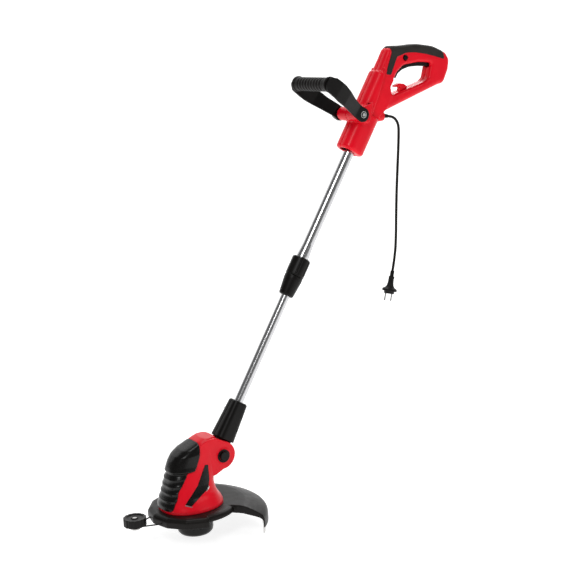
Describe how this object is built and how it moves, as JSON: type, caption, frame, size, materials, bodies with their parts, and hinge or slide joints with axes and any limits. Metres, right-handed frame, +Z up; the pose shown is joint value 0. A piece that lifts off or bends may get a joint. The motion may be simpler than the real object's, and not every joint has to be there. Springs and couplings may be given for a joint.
{
  "type": "corded string trimmer",
  "caption": "Corded electric grass trimmer with a red motor head, shielded line spool, telescopic aluminium shaft, swivelling front bail handle and rear D-handle with mains lead.",
  "frame": {"origin": "centre of the rear grip, where the right hand holds it", "axes": "+X to the rear, from the motor head towards the rear handle; +Y to the user's right; +Z up, along the spool's spin axis"},
  "size_m": [0.9463, 0.2544, 1.06],
  "materials": {
    "black_shell": "fine satin moulded black plastic",
    "soft_black": "soft matte grip rubber",
    "red_shell": "bright red satin moulded plastic",
    "cover_black": "glossy black moulded plastic",
    "guard_black": "satin black moulded plastic",
    "tube_metal": "polished drawn tube",
    "grey_plastic": "grey knob plastic",
    "steel": "zinc plated steel",
    "bright": "bright plated",
    "cord_black": "black cord sheath",
    "copper": "wound copper and brass",
    "dark_iron": "dark magnet and laminations",
    "line_colour": "nylon line",
    "white_plastic": "natural nylon"
  },
  "bodies": {
    "handle": {"handle_shell_left": "red_shell", "handle_shell_right": "red_shell", "soft_grip": "soft_black", "cord_hook": "red_shell", "clamp_bolt": "bright", "bolt_washer": "bright", "power_cord": "cord_black", "cord_sleeve": "cord_black", "plug_body": "cord_black", "plug_pins": "bright", "power_switch": "black_shell", "trigger_spring": "steel", "lock_spring": "steel", "upper_tube": "tube_metal", "collar_sleeve": "black_shell", "collet": "white_plastic"},
    "trigger": {"trigger": "black_shell"},
    "lock_button": {"lock_button": "black_shell"},
    "front_bail": {"front_bail": "black_shell", "front_grip": "soft_black"},
    "clamp_knob": {"clamp_knob": "grey_plastic"},
    "collar_nut": {"collar_nut": "black_shell"},
    "guide_bush": {"tube_bush": "white_plastic"},
    "lower_shaft": {"lower_tube": "tube_metal", "tube_lead": "cord_black", "socket_left": "black_shell", "socket_right": "black_shell", "socket_screws": "steel"},
    "head": {"head_shell_left": "red_shell", "head_shell_right": "red_shell", "motor_cover": "cover_black", "side_badges": "cover_black", "head_screws": "steel", "button_ring": "black_shell", "motor_can": "steel", "motor_end_cap": "black_shell", "magnets": "dark_iron", "brushes": "dark_iron", "bearings": "copper", "guard": "guard_black", "guard_screws": "steel", "line_cutter": "steel", "cutter_screws": "steel", "tilt_spring": "steel", "wheel_wire": "steel", "wheel_bolt": "steel"},
    "tilt_button": {"tilt_button": "black_shell"},
    "rotor": {"armature_core": "dark_iron", "commutator": "copper", "motor_shaft": "steel", "cooling_fan": "white_plastic", "spool_hub": "black_shell", "spool_cap": "black_shell", "bobbin": "red_shell", "cutting_line": "line_colour", "bump_spring": "steel"},
    "bump_button": {"bump_button": "black_shell"},
    "guide_wheel": {"guide_wheel": "black_shell"}
  },
  "joints": [
    {"name": "trigger_pull", "type": "hinge", "parent": "handle", "child": "trigger", "pos_m": [0.029, 0, -0.016], "axis": [0, 1, 0], "range_deg": [0, 4], "stiffness_Nm_per_rad": 2, "springref_deg": -1.72, "deforming": ["trigger_spring"]},
    {"name": "lock_button_press", "type": "slide", "parent": "handle", "child": "lock_button", "axis": [0, 1, 0], "range_m": [0, 0.0022], "stiffness_N_per_m": 300, "springref_m": -0.001, "deforming": ["lock_spring"]},
    {"name": "front_handle_tilt", "type": "hinge", "parent": "handle", "child": "front_bail", "pos_m": [-0.196, 0, -0.1245], "axis": [0, 1, 0], "range_deg": [-25, 20]},
    {"name": "clamp_knob_turn", "type": "hinge", "parent": "handle", "child": "clamp_knob", "pos_m": [-0.196, 0, -0.1245], "axis": [0, 1, 0], "range_deg": [-180, 180]},
    {"name": "collar_turn", "type": "hinge", "parent": "handle", "child": "collar_nut", "pos_m": [-0.39133, 0, -0.5036], "axis": [0.5344, 0, 0.8453], "range_deg": [0, 90]},
    {"name": "tube_slide", "type": "slide", "parent": "handle", "child": "guide_bush", "axis": [0.5344, 0, 0.8453], "range_m": [0, 0.2]},
    {"name": "tube_twist", "type": "hinge", "parent": "guide_bush", "child": "lower_shaft", "pos_m": [-0.61364, 0, -0.85524], "axis": [0.5344, 0, 0.8453], "range_deg": [0, 180]},
    {"name": "head_tilt", "type": "hinge", "parent": "lower_shaft", "child": "head", "pos_m": [-0.61364, 0, -0.85524], "axis": [0, 1, 0], "range_deg": [-30, 0]},
    {"name": "tilt_button_press", "type": "slide", "parent": "head", "child": "tilt_button", "axis": [0, 1, 0], "range_m": [0, 0.004], "stiffness_N_per_m": 500, "springref_m": -0.001, "deforming": ["tilt_spring"]},
    {"name": "spool_spin", "type": "hinge", "parent": "head", "child": "rotor", "pos_m": [-0.67964, 0, -1.03024], "axis": [0, 0, 1], "continuous": true},
    {"name": "bump_button_press", "type": "slide", "parent": "rotor", "child": "bump_button", "axis": [0, 0, 1], "range_m": [0, 0.003], "stiffness_N_per_m": 600, "springref_m": -0.001, "deforming": ["bump_spring"]},
    {"name": "wheel_spin", "type": "hinge", "parent": "head", "child": "guide_wheel", "pos_m": [-0.82864, 0, -1.03024], "axis": [0, 0, 1], "continuous": true}
  ]
}
